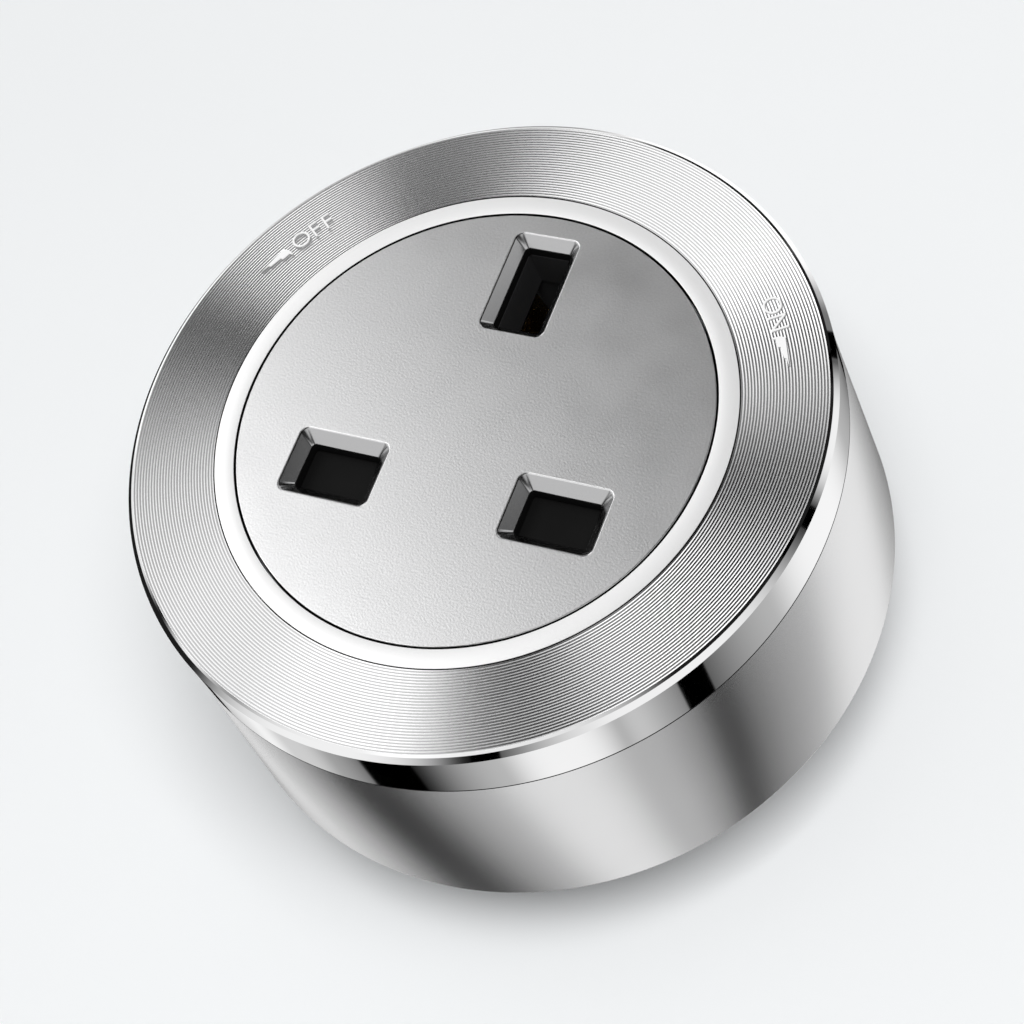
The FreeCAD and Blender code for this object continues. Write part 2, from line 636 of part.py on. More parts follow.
def clip_outline(root):
    """Both leaves from a root level, as (across, up) corners."""
    leaf = [("clip_root", root), ("clip_root", f"{root} + clip_knee"), ("clip_pinch", f"{root} + clip_grip"),
            ("clip_mouth", f"{root} + clip_height"), ("clip_mouth - strip", f"{root} + clip_height"),
            ("clip_pinch - strip", f"{root} + clip_grip"), ("clip_root - strip", f"{root} + clip_knee"),
            ("clip_root - strip", f"{root} + strip")]
    return leaf + [(f"-({across})", up) for across, up in reversed(leaf)]


def shifted(points, offset):
    return [(f"{across} + {offset}", up) for across, up in points]


pole_clip = shifted(clip_outline("strap_top"), "pole_line")
rivet_way = (f"core_foot - {PAST}", f"earth_strap_top + strip + {PAST}")
clip_holes = {"line": ("pole_x", "pole_line"), "neutral": ("-pole_x", "pole_line"), "earth": ("0", "earth_y")}


def clip(name, blank):
    hole = cylinder(f"{name}_clip_hole", "rivet_radius + fit_gap", rivet_way, clip_holes[name])
    return cut(f"{name}_clip", blank, hole)


line_leaf = padded("line_leaf", "YZ_Plane", pole_clip, "pole_clip_half")
neutral_leaf = padded("neutral_leaf", "YZ_Plane", pole_clip, "pole_clip_half")
earth_leaf = padded("earth_leaf", "XZ_Plane", clip_outline("earth_strap_top"), "earth_clip_half")
line_clip = clip("line", moved(line_leaf, "pole_x"))
neutral_clip = clip("neutral", moved(neutral_leaf, "-pole_x"))
earth_clip = clip("earth", moved(earth_leaf, "0", "earth_y"))

# Straps from the clips to the stem's tabs, stamped flat and bent down at their ends

flat = ("core_foot", "strap_top")
tab_low, tab_high = "tab_offset - strap_thickness / 2", "tab_offset + strap_thickness / 2"


def strap(name, *plates):
    hole = cylinder(f"{name}_strap_hole", "rivet_radius + fit_gap", rivet_way, clip_holes[name])
    return cut(f"{name}_strap", fuse(f"{name}_strap_blank", *plates), hole)


line_strap = strap(
    "line",
    box("line_run", ("pole_x - strap_half", "pole_x + strap_half"),
        ("pole_line - strap_past", f"{tab_high} + 2 * strap_half"), flat),
    box("line_cross", ("-tab_half", "pole_x + strap_half"), (tab_high, f"{tab_high} + 2 * strap_half"), flat),
    box("line_tab", ("-tab_half", "tab_half"), (tab_low, tab_high), ("-pole_level", "strap_top")))
neutral_strap = strap(
    "neutral",
    box("neutral_run", ("-pole_x - strap_past", "tab_half"),
        ("pole_line - strap_half", "pole_line + strap_half"), flat),
    box("neutral_cross", ("-tab_half", "tab_half"), ("pole_line", f"-({tab_high})"), flat),
    box("neutral_tab", ("-tab_half", "tab_half"), (f"-({tab_high})", f"-({tab_low})"),
        ("-pole_level", "strap_top")))
earth_strap = strap(
    "earth",
    box("earth_run", ("-tab_half", "tab_half"), ("-strap_thickness / 2", "earth_y + strap_past"),
        ("earth_strap_low", "earth_strap_top")),
    box("earth_tab", ("-tab_half", "tab_half"), ("-strap_thickness / 2", "strap_thickness / 2"),
        ("-earth_level", "earth_strap_top")))

# Rivets through the clips' roots and the straps


def rivet(name, low, top):
    at = clip_holes[name]
    shank = cylinder(f"{name}_rivet_shank", "rivet_radius", (low, top), at)
    head = cylinder(f"{name}_rivet_head", "rivet_radius + rivet_lip", (top, f"{top} + rivet_head"), at)
    return fuse(f"{name}_rivet", shank, head)


clip_rivets = group("clip_rivets", [
    rivet("line", "core_foot", "strap_top + strip"),
    rivet("neutral", "core_foot", "strap_top + strip"),
    rivet("earth", "earth_strap_low", "earth_strap_top + strip")])

# Stem that turns with the housing inside the guide, slotted for the straps' tabs and the blades

stem_blank = turned("stem_blank", [
    ("0", "journal_end"),
    ("journal_radius", "journal_end"),
    ("journal_radius", "ring_low"),
    ("groove_root", "ring_low"),
    ("groove_root", "ring_top"),
    ("journal_radius", "ring_top"),
    ("journal_radius", "stem_end"),
    ("stem_radius", "stem_end"),
    ("stem_radius", "stem_low"),
    ("guide_flange", "stem_low"),
    ("guide_flange", "core_foot"),
    ("0", "core_foot")])
earth_rest = box("earth_rest", ("-tab_half", "tab_half"), ("earth_y - strap_past", "earth_y + strap_past"),
                 (f"core_foot - {PAST}", "earth_strap_low"))


def tab_slot(name, middle, low):
    room = "strap_thickness / 2 + fit_gap"
    return box(f"{name}_tab_slot", ("-(tab_half + fit_gap)", "tab_half + fit_gap"),
               (f"{middle} - ({room})", f"{middle} + {room}"), (low, "core_foot"))


def blade_span(level, room):
    return f"-{level} - blade_thickness - {room}", f"-{level} + {room}"


def blade_pocket(name, start, end, level):
    across = ("-(blade_half + fit_gap)", "blade_half + fit_gap")
    return box(name, across, (start, end), blade_span(level, "fit_gap"))


stem_out = f"stem_radius + {PAST}"
stem_under = f"stem_low - {PAST}"
stem_head_seat = "stem_low + head_height + end_gap"
stem_cuts = [
    tab_slot("line", "tab_offset", "-pole_level"),
    tab_slot("neutral", "-tab_offset", "-pole_level"),
    tab_slot("earth", "0", "-earth_level"),
    blade_pocket("line_pocket", "blade_start - fit_gap", stem_out, "pole_level"),
    blade_pocket("neutral_pocket", f"-({stem_out})", "-(blade_start - fit_gap)", "pole_level"),
    blade_pocket("earth_pocket", f"-({stem_out})", stem_out, "earth_level"),
    cylinder("stop_pin_hole", "stop_radius", (stem_under, "core_foot"), ("-stop_circle", "0"))]
for k, angle in enumerate(STEM_SCREWS):
    spot = on_circle("stem_screw_circle", angle)
    stem_cuts.append(cylinder(f"stem_hole_{k}", "screw_hole", (stem_under, "core_foot"), spot))
    stem_cuts.append(cylinder(f"stem_bore_{k}", "head_bore", (stem_under, stem_head_seat), spot))
rotor_stem = cut("rotor_stem", fuse("stem_solid", stem_blank, earth_rest), *stem_cuts)

# Blades with round contact tips; the pole blades point opposite ways and the earth blade both


def blade(name, start, tips, level):
    centre = "(blade_reach - blade_half)"
    zs = blade_span(level, "0")
    ends = [cylinder(f"{name}_tip_{k}", "blade_half", zs, ("0", f"{sign} * {centre}"))
            for k, sign in enumerate(tips)]
    low, high = (f"-{centre}" if -1 in tips else start), (centre if 1 in tips else f"-({start})")
    return fuse(name, box(f"{name}_arm", ("-blade_half", "blade_half"), (low, high), zs), *ends)


line_blade = blade("line_blade", "blade_start", (1,), "pole_level")
neutral_blade = blade("neutral_blade", "blade_start", (-1,), "pole_level")
earth_blade = blade("earth_blade", "0", (1, -1), "earth_level")

# Guide block: keyed bar in the track's slot, with a flange held behind the rear cover


def blade_window(name, level):
    """Room for two opposite blades to swing clockwise from the key's length to its sides."""
    zs = blade_span(level, "blade_room")
    side = f"(key_half + {PAST})"
    return [sector(f"{name}_swing_a", "blade_swing", zs, "0", "90"),
            sector(f"{name}_swing_b", "blade_swing", zs, "180", "90"),
            box(f"{name}_rest", ("-blade_way", "blade_way"), ("-blade_swing", "blade_swing"), zs),
            box(f"{name}_out", (f"-{side}", side), ("-blade_way", "blade_way"), zs)]


def stop_slot():
    """Quarter-turn slot for the stop pin, from the left round to the top."""
    half = "(stop_radius + stop_room)"
    zs = ("guide_low", "guide_high")
    first, last = "90 - stop_over", "180 + stop_over"
    quarter = cut("stop_quarter",
                  sector("stop_outer", f"stop_circle + {half}", zs, first, f"{last} - ({first})"),
                  cylinder("stop_inner", f"stop_circle - {half}", zs))
    ends = [cylinder(f"stop_end_{k}", half, zs, on_circle("stop_circle", angle))
            for k, angle in enumerate((first, last))]
    return [quarter, *ends]


def click_notch(name, turn):
    """Square cut corner first into the flange's rim, under the click spring's nose."""
    span = ("0", "3 * click_depth")
    notch = turn_about_z(box(name, span, span, ("guide_low", "guide_high")), f"click_angle + {turn} - 45")
    across, up = on_circle("(guide_flange - click_depth)", f"click_angle + {turn}")
    bind(notch, Placement__Base__x=across, Placement__Base__y=up)
    return notch


guide_solid = fuse("guide_solid",
                   cylinder("guide_disc", "guide_flange", ("guide_low", "guide_high")),
                   stadium("guide_key", "guide_length", "guide_width", ("block_foot", "guide_high")),
                   box("guide_rib", ("0", "key_half + rib_height"), ("-rib_half", "rib_half"),
                       ("-rib_drop", "guide_low")))
cap_tap = ("block_foot", "block_foot + cap_screw_bite + tip_room")
cap_screw_holes = [cylinder(f"guide_tap_{k}", "screw_radius", cap_tap, ("0", f"{sign} * cap_screw_place"))
                   for k, sign in enumerate((-1, 1))]
guide_block = cut("guide_block", guide_solid,
                  cylinder("guide_bore", "stem_bore", ("floor_top", "guide_high")),
                  cylinder("journal_hole", "journal_bore", ("block_foot", "floor_top")),
                  *blade_window("pole_window", "pole_level"), *blade_window("earth_window", "earth_level"),
                  *stop_slot(), click_notch("click_notch_off", 0), click_notch("click_notch_on", -90),
                  *cap_screw_holes)

# Guide cap over the retaining clip, with a lead-in edge for the track's slot

cap_floor = "-guide_depth"
cap_head_seat = f"{cap_floor} + head_height + end_gap"
cap_edge = [("key_half - cap_lead", cap_floor), ("key_half", f"{cap_floor} + cap_lead"),
            ("key_half", "block_foot")]
cap_side = [(f"-({across})", up) for across, up in reversed(cap_edge)] + cap_edge
cap_bar = moved(padded("cap_bar", "XZ_Plane", cap_side, "key_centre"))
cap_ends = []
for k, sign in enumerate((-1, 1)):
    cap_end = turned(f"cap_end_{k}", [("0", cap_floor), *cap_edge, ("0", "block_foot")])
    cap_ends.append(moved(cap_end, "0", f"{sign} * key_centre"))
cap_cuts = [cylinder("cap_room", "cap_recess", ("journal_end - 3 * end_gap", "block_foot"))]
for k, sign in enumerate((-1, 1)):
    spot = ("0", f"{sign} * cap_screw_place")
    cap_cuts.append(cylinder(f"cap_hole_{k}", "screw_hole", (cap_floor, "block_foot"), spot))
    cap_cuts.append(cylinder(f"cap_bore_{k}", "head_bore", (cap_floor, cap_head_seat), spot))
guide_cap = cut("guide_cap", fuse("cap_solid", cap_bar, *cap_ends), *cap_cuts)

# Washer and retaining clip on the stem's journal

spindle_washer = turned("spindle_washer", [
    ("journal_radius + fit_gap", "washer_top - washer_thickness"),
    ("journal_radius + washer_rim", "washer_top - washer_thickness"),
    ("journal_radius + washer_rim", "washer_top"),
    ("journal_radius + fit_gap", "washer_top")])
ring_blank = turned("ring_blank", [
    ("groove_root + fit_gap", "ring_low + fit_gap"),
    ("journal_radius + ring_rim", "ring_low + fit_gap"),
    ("journal_radius + ring_rim", "ring_top - fit_gap"),
    ("groove_root + fit_gap", "ring_top - fit_gap")])
ring_mouth = box("ring_mouth", ("0", f"journal_radius + ring_rim + {PAST}"),
                 ("-0.8 * groove_root", "0.8 * groove_root"), ("ring_low", "ring_top"))
retaining_clip = cut("retaining_clip", ring_blank, ring_mouth)

# Click spring: bent strip whose nose rides past the flange's rim and drops into its two notches

nose = "guide_flange + click_clear"
arm, arm_end = f"{nose} + click_rise", f"{nose} + click_rise + click_bow"
click_points = [("-click_half", arm_end), ("-click_nose", arm), ("0", nose), ("click_nose", arm),
                ("click_half", arm_end)]
click_points += [(across, f"{up} + click_thickness") for across, up in reversed(click_points)]
click_leaf = padded("click_spring", "XY_Plane", click_points, "guide_plate / 2 - end_gap")
click_spring = moved(click_leaf, z="(guide_low + guide_high) / 2")
turn_about_z(click_spring, "click_angle - 90")

# Stop pin, pressed into the stem's flange

stop_pin = cylinder("stop_pin", "stop_radius", ("guide_low + end_gap", "core_foot"), ("-stop_circle", "0"))

# Screws

core_screws = group("core_screws", [
    screw(f"core_screw_{k}", on_circle("core_screw_circle", angle), "stack_back - flange_thickness",
          "face_height - tap_skin - end_gap") for k, angle in enumerate(CORE_SCREWS)])
stem_screws = group("stem_screws", [
    screw(f"stem_screw_{k}", on_circle("stem_screw_circle", angle), stem_head_seat,
          "core_foot + screw_bite") for k, angle in enumerate(STEM_SCREWS)])
cover_screws = group("cover_screws", [
    screw(f"cover_screw_{k}", on_circle("cover_screw_circle", angle), cover_head_seat,
          "core_foot + screw_bite") for k, angle in enumerate(COVER_SCREWS)])
cap_screws = group("cap_screws", [
    screw(f"cap_screw_{k}", ("0", f"{sign} * cap_screw_place"), cap_head_seat,
          "block_foot + cap_screw_bite") for k, sign in enumerate((-1, 1))])

NODES = {
    "bezel": bezel, "accent_ring": accent_ring, "face_plate": face_plate, "body_shell": body_shell,
    "rear_cover": rear_cover, "track_pad": track_pad, "socket_core": socket_core, "shutter": shutter,
    "shutter_spring": shutter_spring, "line_clip": line_clip, "neutral_clip": neutral_clip,
    "earth_clip": earth_clip, "line_strap": line_strap, "neutral_strap": neutral_strap,
    "earth_strap": earth_strap, "clip_rivets": clip_rivets, "rotor_stem": rotor_stem,
    "line_blade": line_blade, "neutral_blade": neutral_blade, "earth_blade": earth_blade,
    "guide_block": guide_block, "guide_cap": guide_cap, "spindle_washer": spindle_washer,
    "retaining_clip": retaining_clip, "click_spring": click_spring, "stop_pin": stop_pin,
    "core_screws": core_screws, "stem_screws": stem_screws, "cover_screws": cover_screws,
    "cap_screws": cap_screws,
}

doc.recompute()
for node, piece in NODES.items():
    piece.Label = node
for thing in doc.Objects:
    if "Invalid" in thing.State or "Error" in thing.State:
        raise RuntimeError(f"{thing.Name} failed: {thing.State}")
for node, piece in NODES.items():
    shape = piece.Shape
    if shape.isNull() or not shape.isValid() or not shape.Solids:
        raise RuntimeError(f"{node} has no valid solid")

os.makedirs("parts", exist_ok=True)
for node, piece in NODES.items():
    piece.Shape.exportStep(f"parts/{node}.step")
    print(node, len(piece.Shape.Solids), round(piece.Shape.Volume, 2), piece.Shape.BoundBox)
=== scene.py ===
import math

import bpy
from mathutils import Matrix, Quaternion, Vector


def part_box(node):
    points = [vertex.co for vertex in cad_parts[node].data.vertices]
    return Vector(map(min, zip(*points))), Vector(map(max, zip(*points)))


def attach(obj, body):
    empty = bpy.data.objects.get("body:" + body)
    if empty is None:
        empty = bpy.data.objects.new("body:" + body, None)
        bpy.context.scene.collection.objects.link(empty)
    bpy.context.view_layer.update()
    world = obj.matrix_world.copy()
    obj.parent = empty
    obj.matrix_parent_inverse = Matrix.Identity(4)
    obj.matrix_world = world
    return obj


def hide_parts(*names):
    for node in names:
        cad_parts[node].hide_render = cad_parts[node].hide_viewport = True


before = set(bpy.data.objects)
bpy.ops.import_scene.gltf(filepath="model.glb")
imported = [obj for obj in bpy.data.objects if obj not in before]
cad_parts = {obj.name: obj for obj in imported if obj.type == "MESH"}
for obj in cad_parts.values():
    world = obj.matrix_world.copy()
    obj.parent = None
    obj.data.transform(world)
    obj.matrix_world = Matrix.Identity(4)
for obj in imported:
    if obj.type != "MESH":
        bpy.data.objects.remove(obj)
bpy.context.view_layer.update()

bpy.context.scene.view_settings.view_transform = "Standard"

# Sizes in millimetres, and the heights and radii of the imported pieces

MM = 0.001
TURN = 2 * math.pi
ROUND_STEPS = 256
MERGE_GAP = 0.0005
WELD_GAP = 0.001
FLAT_ANGLE = math.radians(0.5)
SHARP_ANGLE = math.radians(32)

# Feet that hold the accent ring and the plate, each under a ledge of its neighbour
ACCENT_FOOT = 0.5
PLATE_FOOT = 0.65
FOOT_HEIGHT = 0.8
FOOT_ROOM = 0.05

# Fine gaps outside and inside the accent ring, and the rounding of its edges
FIT_GAP = 0.12
PLATE_GAP = 0.19
ACCENT_ROUND = 0.04


def reach(node):
    """Outside radius, lowest and highest height of a turned piece, in millimetres."""
    low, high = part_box(node)
    return high.x / MM, low.z / MM, high.z / MM


rim, spigot_end, face = reach("bezel")
base, shell_back, seam = reach("body_shell")
accent_foot_out, accent_back = reach("accent_ring")[:2]
accent_out = accent_foot_out - ACCENT_FOOT
plate_out = reach("face_plate")[0] - PLATE_FOOT
ledge_low = accent_back + FOOT_HEIGHT + FOOT_ROOM

# Turned ring face, its two edge breaks, and the spigot behind the seam
GROOVE_COUNT = 28
GROOVE_SLOPE = math.radians(20)
GROOVE_LAND = 0.02
RING_SINK = 0.03
LIP_WIDTH = 0.27
LIP_DROP = 0.18
CHAMFER_WIDTH = 0.46
CHAMFER_DROP = 0.64
SEAM_BREAK = 0.03
SPIGOT_INSET = 1.25
SPIGOT_WALL = 0.8

groove_start = accent_out + FIT_GAP
groove_end = rim - LIP_WIDTH - CHAMFER_WIDTH
groove_pitch = (groove_end - groove_start) / GROOVE_COUNT

# Body shell: its walls from the front to the back, and the ledge that the rear cover meets
SHELL_WALL = 1.2
SPIGOT_BORE_DEPTH = 4
ROOT_WALL = 2.2
LEDGE_WALL = 3.17
LEDGE_HEIGHT = 1.2
REBATE_WALL = 1.82
COVER_SEAT = 2.6
BACK_BREAK = 0.35
SEAM_ROUND = 0.14
# Width of the band in the seam's rounding that gets painted shade
SEAM_LINE = 0.2

# How far a face's normal rises, from 0 on an upright wall to 1 on a flat top
WALL_RISE = 0.3
LINER_RISE = 0.5
SEAM_RISE = 0.12
BEVEL_RISE = (0.3, 0.98)

# Slots of the face plate: depth of their bevels, and the plate's own edge that isn't part of them
BEVEL_DEPTH = 1.15
PLATE_EDGE = 0.5
WALL_SEARCH = 0.03
LEDGE_SEARCH = 0.1

# Words and arrows on the ring face
LETTER_HEIGHT = 1.8
CAPITAL_SHARE = 0.72
LETTER_THINNING = 0.035
LETTER_BREAK = 0.015
WORD_RISE = 0.07


# Ways of making pieces


def deselect():
    if bpy.context.mode != "OBJECT":
        bpy.ops.object.mode_set(mode="OBJECT")
    bpy.ops.object.select_all(action="DESELECT")


def select_only(piece):
    deselect()
    bpy.context.view_layer.objects.active = piece
    piece.select_set(True)


def edit(piece):
    """Opens one piece in edit mode with all of it selected."""
    select_only(piece)
    bpy.ops.object.mode_set(mode="EDIT")
    bpy.ops.mesh.select_all(action="SELECT")


def close_seams():
    """Merges the doubles of the open piece and turns its faces outwards."""
    bpy.ops.mesh.select_all(action="SELECT")
    bpy.ops.mesh.remove_doubles(threshold=MERGE_GAP * MM)
    bpy.ops.mesh.normals_make_consistent(inside=False)
    bpy.ops.object.mode_set(mode="OBJECT")


def smooth(piece, degrees=30):
    select_only(piece)
    bpy.ops.object.shade_smooth_by_angle(angle=math.radians(degrees))


def apply_modifier(piece, kind, **settings):
    select_only(piece)
    modifier = piece.modifiers.new(kind.lower(), kind)
    for name, value in settings.items():
        setattr(modifier, name, value)
    bpy.ops.object.modifier_apply(modifier=modifier.name)


def add_to_scene(name, data):
    thing = bpy.data.objects.new(name, data)
    bpy.context.scene.collection.objects.link(thing)
    return thing


def turned(name, outline):
    """A ring turned about Z from its closed section of radii and heights."""
    deselect()
    bpy.ops.mesh.primitive_plane_add(size=MM)
    piece = bpy.context.object
    piece.name = piece.data.name = name
    edit(piece)
    bpy.ops.mesh.merge(type="CENTER")
    first = outline[0]
    bpy.ops.transform.translate(value=(first[0] * MM, 0, first[1] * MM))
    for near, far in zip(outline, outline[1:] + [first]):
        step = ((far[0] - near[0]) * MM, 0, (far[1] - near[1]) * MM)
        bpy.ops.mesh.extrude_region_move(TRANSFORM_OT_translate={"value": step})
    bpy.ops.mesh.select_all(action="SELECT")
    bpy.ops.mesh.remove_doubles(threshold=MERGE_GAP * MM)
    bpy.ops.mesh.select_all(action="SELECT")
    bpy.ops.mesh.spin(steps=ROUND_STEPS, angle=TURN, center=(0, 0, 0), axis=(0, 0, 1))
    close_seams()
    return piece


def rounded(outline, radius, corners):
    """The outline with the named corners cut to short arcs."""
    result = []
    count = len(outline)
    for k, here in enumerate(outline):
        if k not in corners:
            result.append(here)
            continue
        here, before, after = Vector(here), Vector(outline[k - 1]), Vector(outline[(k + 1) % count])
        start = here + (before - here).normalized() * radius
        end = here + (after - here).normalized() * radius
        for share in (0, 0.3, 0.7, 1):
            result.append(tuple(start.lerp(here, share).lerp(here.lerp(end, share), share)))
    return result


def dressed_copy(node, name, body, edge, segments=2):
    """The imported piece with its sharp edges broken, to stand for it."""
    piece = add_to_scene(name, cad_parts[node].data.copy())
    piece.data.name = name
    edit(piece)
    if piece.data.has_custom_normals:
        bpy.ops.mesh.customdata_custom_splitnormals_clear()
    bpy.ops.mesh.remove_doubles(threshold=WELD_GAP * MM)
    bpy.ops.mesh.select_all(action="SELECT")
    bpy.ops.mesh.dissolve_limited(angle_limit=FLAT_ANGLE)
    bpy.ops.object.mode_set(mode="OBJECT")
    apply_modifier(piece, "BEVEL", width=edge * MM, segments=segments, limit_method="ANGLE",
                   angle_limit=SHARP_ANGLE)
    smooth(piece)
    apply_modifier(piece, "WEIGHTED_NORMAL", keep_sharp=True, weight=80)
    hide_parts(node)
    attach(piece, body)
    return piece


def paint_gap_shade(piece, lowest, highest):
    """Paints shade into fine gaps: gives the upright walls between two radii the piece's second, near-black
    finish, as the gaps show black.
    """
    for side in piece.data.polygons:
        if abs(side.normal.z) < WALL_RISE and lowest * MM < side.center.xy.length < highest * MM:
            side.material_index = 1


def finish_as(piece, slot, *materials):
    piece.data.materials.clear()
    for material in materials:
        piece.data.materials.append(material)


# Shading sums


class Value:
    """An output of a node, so that sums on it add Math nodes."""

    def __init__(self, shading, socket):
        self.shading = shading
        self.socket = socket

    def maths(self, operation, *terms):
        return self.shading.add("ShaderNodeMath", {"operation": operation}, dict(enumerate(terms)))

    def __add__(self, other):
        return self.maths("ADD", self, other)

    __radd__ = __add__

    def __sub__(self, other):
        return self.maths("SUBTRACT", self, other)

    def __rsub__(self, other):
        return self.maths("SUBTRACT", other, self)

    def __mul__(self, other):
        return self.maths("MULTIPLY", self, other)

    __rmul__ = __mul__

    def __truediv__(self, other):
        return self.maths("DIVIDE", self, other)

    def __rtruediv__(self, other):
        return self.maths("DIVIDE", other, self)

    def __lt__(self, other):
        return self.maths("LESS_THAN", self, other)

    def __gt__(self, other):
        return self.maths("GREATER_THAN", self, other)

    def size(self):
        return self.maths("ABSOLUTE", self)

    def fraction(self):
        return self.maths("FRACT", self)


class Shading:
    """A node tree that is built node by node."""

    def __init__(self, tree):
        self.tree = tree

    def add(self, kind, settings=None, inputs=None, output=0):
        """A node of one type: its settings first, then its sockets' values and links."""
        node = self.tree.nodes.new(kind)
        for name, value in (settings or {}).items():
            setattr(node, name, value)
        for socket, value in (inputs or {}).items():
            if isinstance(value, Value):
                self.tree.links.new(value.socket, node.inputs[socket])
            else:
                node.inputs[socket].default_value = value
        return Value(self, node.outputs[output])

    def scaled(self, vector, factors):
        return self.add("ShaderNodeVectorMath", {"operation": "MULTIPLY"}, {0: vector, 1: factors})

    def tint(self, shade, colour, other):
        """From the first colour to the other, each fixed or a Value, as the shade goes from 0 to 1."""
        ends = [end if isinstance(end, Value) else (*end, 1) for end in (colour, other)]
        return self.add("ShaderNodeMix", {"data_type": "RGBA"}, {0: shade, 6: ends[0], 7: ends[1]}, 2)


class Finish(Shading):
    """A material with one Principled shader."""

    def __init__(self, name, **constants):
        self.material = bpy.data.materials.new(name)
        self.material.use_nodes = True
        super().__init__(self.material.node_tree)
        self.shader = self.tree.nodes["Principled BSDF"]
        for socket, value in constants.items():
            self.shader.inputs[socket.replace("_", " ")].default_value = value
        self.place = self.add("ShaderNodeTexCoord", output="Object")

    def set(self, **links):
        for socket, value in links.items():
            self.tree.links.new(value.socket, self.shader.inputs[socket.replace("_", " ")])

    def radius(self):
        """Distance from the piece's axis."""
        flat = self.scaled(self.place, (1, 1, 0))
        return self.add("ShaderNodeVectorMath", {"operation": "LENGTH"}, {0: flat}, "Value")

    def grain(self, per_metre, detail=2, stretch=(1, 1, 1)):
        """Noise from 0 to 1, with so many grains to the metre."""
        place = self.scaled(self.place, stretch)
        return self.add("ShaderNodeTexNoise", inputs={"Vector": place, "Scale": per_metre, "Detail": detail})

    def relief(self, height, strength, distance):
        """Fine bumps; the distance is in millimetres."""
        bump = self.add("ShaderNodeBump",
                        inputs={"Height": height, "Strength": strength, "Distance": distance * MM})
        self.set(Normal=bump)


METAL_BUMP = 0.6
PLASTIC_BUMP = 0.5


def satin_metal(name, colour, other, roughness, spread, grains, relief, stretch=(1, 1, 1)):
    """Metal with a fine grain, its tint drifting slowly between two colours."""
    finish = Finish(name, Metallic=1.0)
    fine = finish.grain(grains, stretch=stretch)
    broad = finish.grain(120, detail=3)
    finish.set(Base_Color=finish.tint(broad, colour, other), Roughness=roughness + spread * fine)
    finish.relief(fine, METAL_BUMP, relief)
    return finish.material


def blasted_metal(name, colour, other, roughness, spread, relief):
    """Satin metal with a fine even speckle."""
    finish = Finish(name, Metallic=1.0)
    fine = finish.grain(5000)
    finish.set(Base_Color=finish.tint(fine, colour, other), Roughness=roughness + spread * finish.grain(200))
    finish.relief(fine, METAL_BUMP, relief)
    return finish.material


def moulded_plastic(name, colour, other, roughness, relief=0.02, **constants):
    finish = Finish(name, IOR=1.5, **constants)
    fine = finish.grain(9000)
    broad = finish.grain(150, detail=3)
    finish.set(Base_Color=finish.tint(broad, colour, other), Roughness=roughness + 0.12 * fine)
    finish.relief(fine, PLASTIC_BUMP, relief)
    return finish.material


# Finishes

plate_satin = blasted_metal("plate_satin", (0.61, 0.61, 0.613), (0.76, 0.76, 0.763),
                            roughness=0.26, spread=0.08, relief=0.012)
slot_bevel = satin_metal("slot_bevel", (0.46, 0.46, 0.463), (0.42, 0.42, 0.423),
                         roughness=0.16, spread=0.05, grains=3000, relief=0.001)
shell_satin = satin_metal("shell_satin", (0.68, 0.68, 0.683), (0.64, 0.64, 0.643),
                          roughness=0.20, spread=0.06, grains=2500, relief=0.002, stretch=(1, 1, 12))
accent_white = moulded_plastic("accent_white", (0.93, 0.93, 0.93), (0.90, 0.90, 0.90),
                               roughness=0.30, relief=0.002, Metallic=0.45)
word_white = moulded_plastic("word_white", (0.92, 0.92, 0.92), (0.88, 0.88, 0.88),
                             roughness=0.34, relief=0.002)
# Black plastic of the shutter and slot walls; the same finish is also painted shade on the walls of fine gaps
# and in the seam's rounding
slot_black = moulded_plastic("slot_black", (0.004, 0.004, 0.004), (0.008, 0.008, 0.008),
                             roughness=0.5, Specular_IOR_Level=0.08)
core_black = moulded_plastic("core_black", (0.02, 0.02, 0.021), (0.035, 0.035, 0.036), roughness=0.42)
rear_black = moulded_plastic("rear_black", (0.05, 0.05, 0.052), (0.07, 0.07, 0.073), roughness=0.45)
guide_grey = moulded_plastic("guide_grey", (0.075, 0.075, 0.078), (0.10, 0.10, 0.103), roughness=0.42)
pad_rubber = moulded_plastic("pad_rubber", (0.03, 0.03, 0.03), (0.045, 0.045, 0.045),
                             roughness=0.75, relief=0.05)
contact_brass = satin_metal("contact_brass", (0.82, 0.62, 0.30), (0.76, 0.56, 0.26),
                            roughness=0.22, spread=0.14, grains=4000, relief=0.01)
spring_steel = satin_metal("spring_steel", (0.60, 0.60, 0.61), (0.54, 0.54, 0.55),
                           roughness=0.22, spread=0.12, grains=4000, relief=0.01)
plated_steel = satin_metal("plated_steel", (0.72, 0.72, 0.71), (0.64, 0.64, 0.63),
                           roughness=0.24, spread=0.12, grains=4000, relief=0.01)


def bezel_metal():
    """Turned and polished aluminium: satin, with painted shade darkening the groove valleys, and bright on
    the edge breaks.
    """
    finish = Finish("bezel_metal", Metallic=1.0)
    lines = finish.grain(900, detail=1)
    broad = finish.grain(90)
    radius = finish.radius()
    on_face = radius < (groove_end + GROOVE_LAND) * MM
    groove = ((radius - groove_start * MM) / (groove_pitch * MM)).fraction()
    # Painted shade: on the ring face the base colour darkens to grey towards the bottom of each groove
    valley = 1 - 2 * (groove - 0.5).size()
    unshaded = finish.tint(broad, (0.80, 0.80, 0.80), (0.76, 0.76, 0.765))
    shaded = finish.tint(valley * valley * on_face, unshaded, (0.48, 0.48, 0.485))
    finish.set(Base_Color=shaded, Roughness=0.03 + 0.02 * lines + on_face * 0.15)
    return finish.material


# Bezel: grooved ring face, two edge breaks and the polished band


